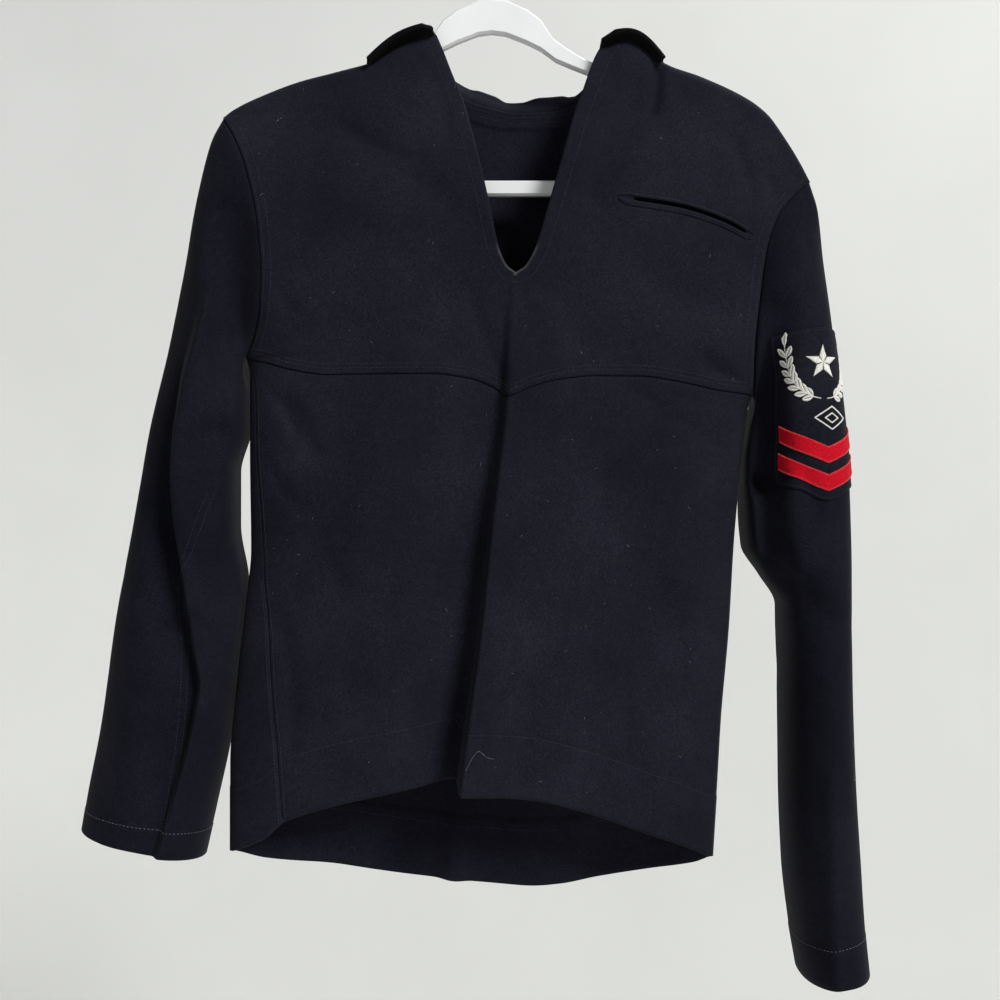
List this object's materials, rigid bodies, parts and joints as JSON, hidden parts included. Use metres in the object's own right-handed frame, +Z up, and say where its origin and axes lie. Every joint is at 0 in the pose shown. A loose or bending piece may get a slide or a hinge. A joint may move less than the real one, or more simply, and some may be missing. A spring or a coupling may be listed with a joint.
{
  "type": "sailor jumper on a hanger",
  "caption": "Dark wool sailor jumper with a front yoke, neck slit, square back collar and sleeve badge, hung on a plastic clothes hanger.",
  "frame": {"origin": "the inside of the hanger's hook, at its top, where the rail carries it", "axes": "+Z up, the front faces -Y, and +X runs to the right of someone who faces the front"},
  "size_m": [0.675, 0.1272, 0.9059],
  "materials": {
    "wool": "napped",
    "badge_cloth": "napped",
    "red_felt": "felt",
    "plastic": "satin"
  },
  "bodies": {
    "root": {"front": "wool", "front_yoke": "wool", "back": "wool", "sleeve_left": "wool", "sleeve_right": "wool", "collar": "wool", "pocket_welt": "wool", "badge_ground": "badge_cloth", "chevron_upper": "red_felt", "chevron_lower": "red_felt", "hanger": "plastic"}
  },
  "joints": []
}
